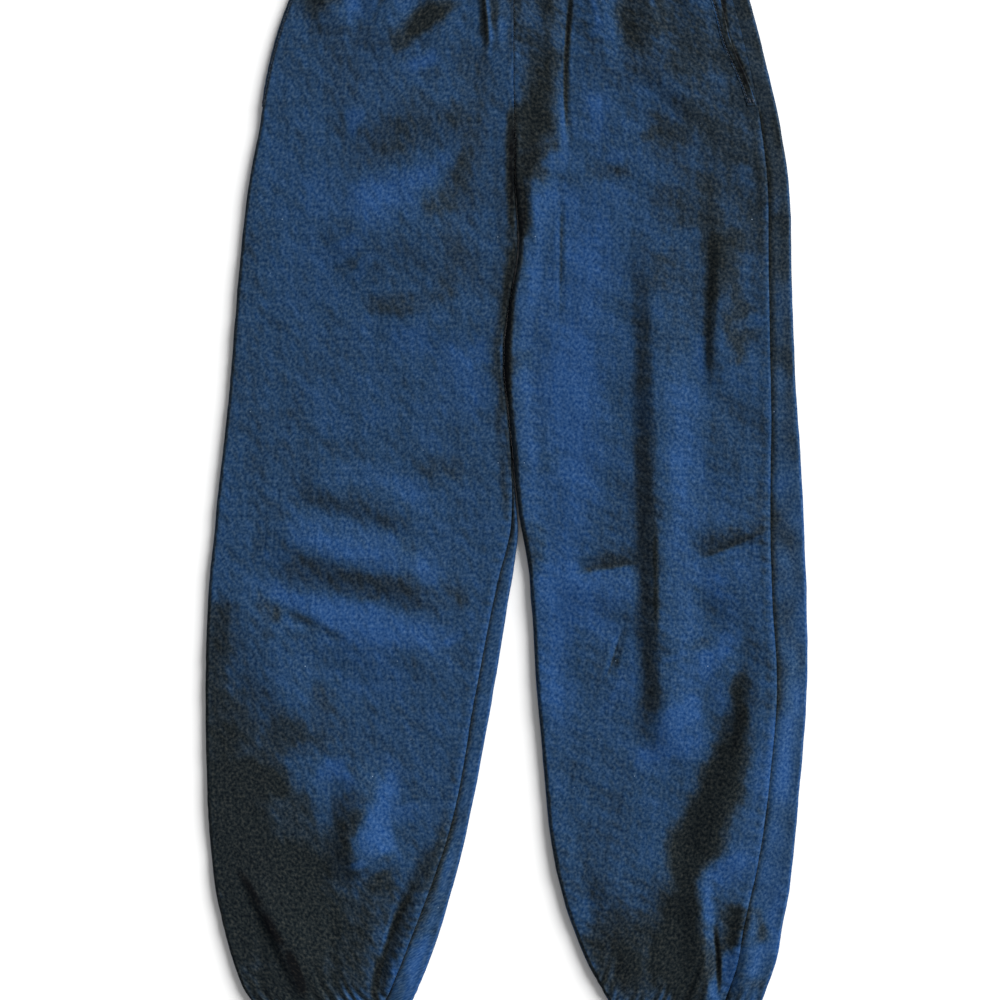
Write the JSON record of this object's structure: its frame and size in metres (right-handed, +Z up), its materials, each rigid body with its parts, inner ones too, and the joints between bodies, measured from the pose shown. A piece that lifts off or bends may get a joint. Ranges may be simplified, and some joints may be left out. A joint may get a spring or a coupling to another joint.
{
  "type": "jogger sweatpants laid flat",
  "caption": "Jogger sweatpants of brushed heather fleece laid flat, front up, with gathered elastic waistband and cuffs, slanted side pockets and soft folds.",
  "frame": {"origin": "centre of the garment's outline, on the surface it lies on", "axes": "+Y towards the waist, +X towards the wearer's left leg, +Z up out of the front of the garment"},
  "size_m": [0.5716, 1.07, 0.0173],
  "materials": {
    "heather_navy_fleece": "matt brushed fleece with a fine two-tone heather",
    "heather_navy_casing": "the same fleece, folded over elastic and gathered"
  },
  "bodies": {
    "root": {"front_right": "heather_navy_fleece", "front_left": "heather_navy_fleece", "back_right": "heather_navy_fleece", "back_left": "heather_navy_fleece", "pocket_mouth_right": "heather_navy_fleece", "pocket_mouth_left": "heather_navy_fleece", "waistband": "heather_navy_casing", "cuff_right": "heather_navy_casing", "cuff_left": "heather_navy_casing"}
  },
  "joints": []
}
